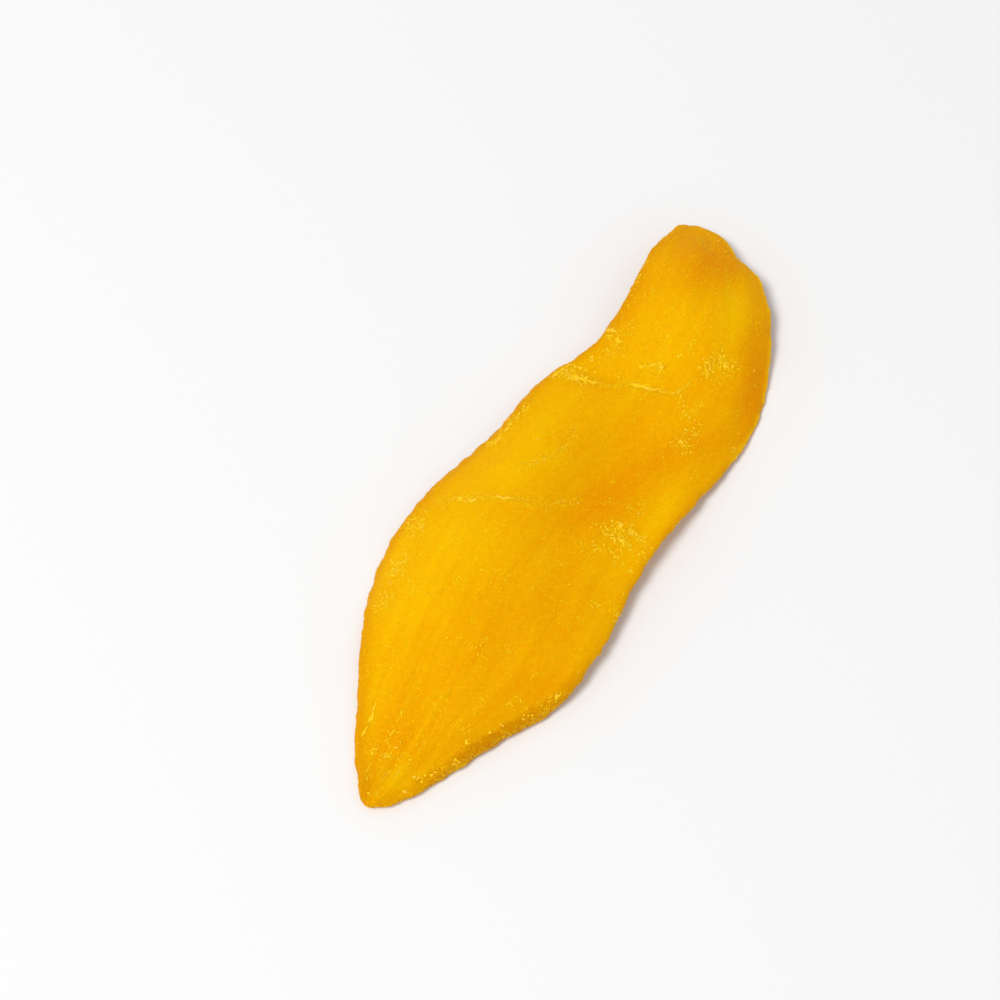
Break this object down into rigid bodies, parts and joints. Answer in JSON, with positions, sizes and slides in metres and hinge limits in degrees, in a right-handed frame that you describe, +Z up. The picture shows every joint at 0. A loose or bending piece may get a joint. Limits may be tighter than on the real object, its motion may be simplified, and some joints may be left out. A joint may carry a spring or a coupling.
{
  "type": "dried mango slice",
  "caption": "Lengthwise cheek of mango dried to one soft, leathery, warped slice, pointed at the tip and blunt at the stem end, with thin rims and sugar dust.",
  "frame": {"origin": "on the surface it lies on, under the middle of its box", "axes": "+Y along the slice from its pointed tip to its blunt stem end, +X to its right seen from above, +Z up"},
  "size_m": [0.0404, 0.1054, 0.0085],
  "materials": {
    "dried_mango": "satin, faintly dusty with sugar"
  },
  "bodies": {
    "root": {"mango_slice": "dried_mango"}
  },
  "joints": []
}
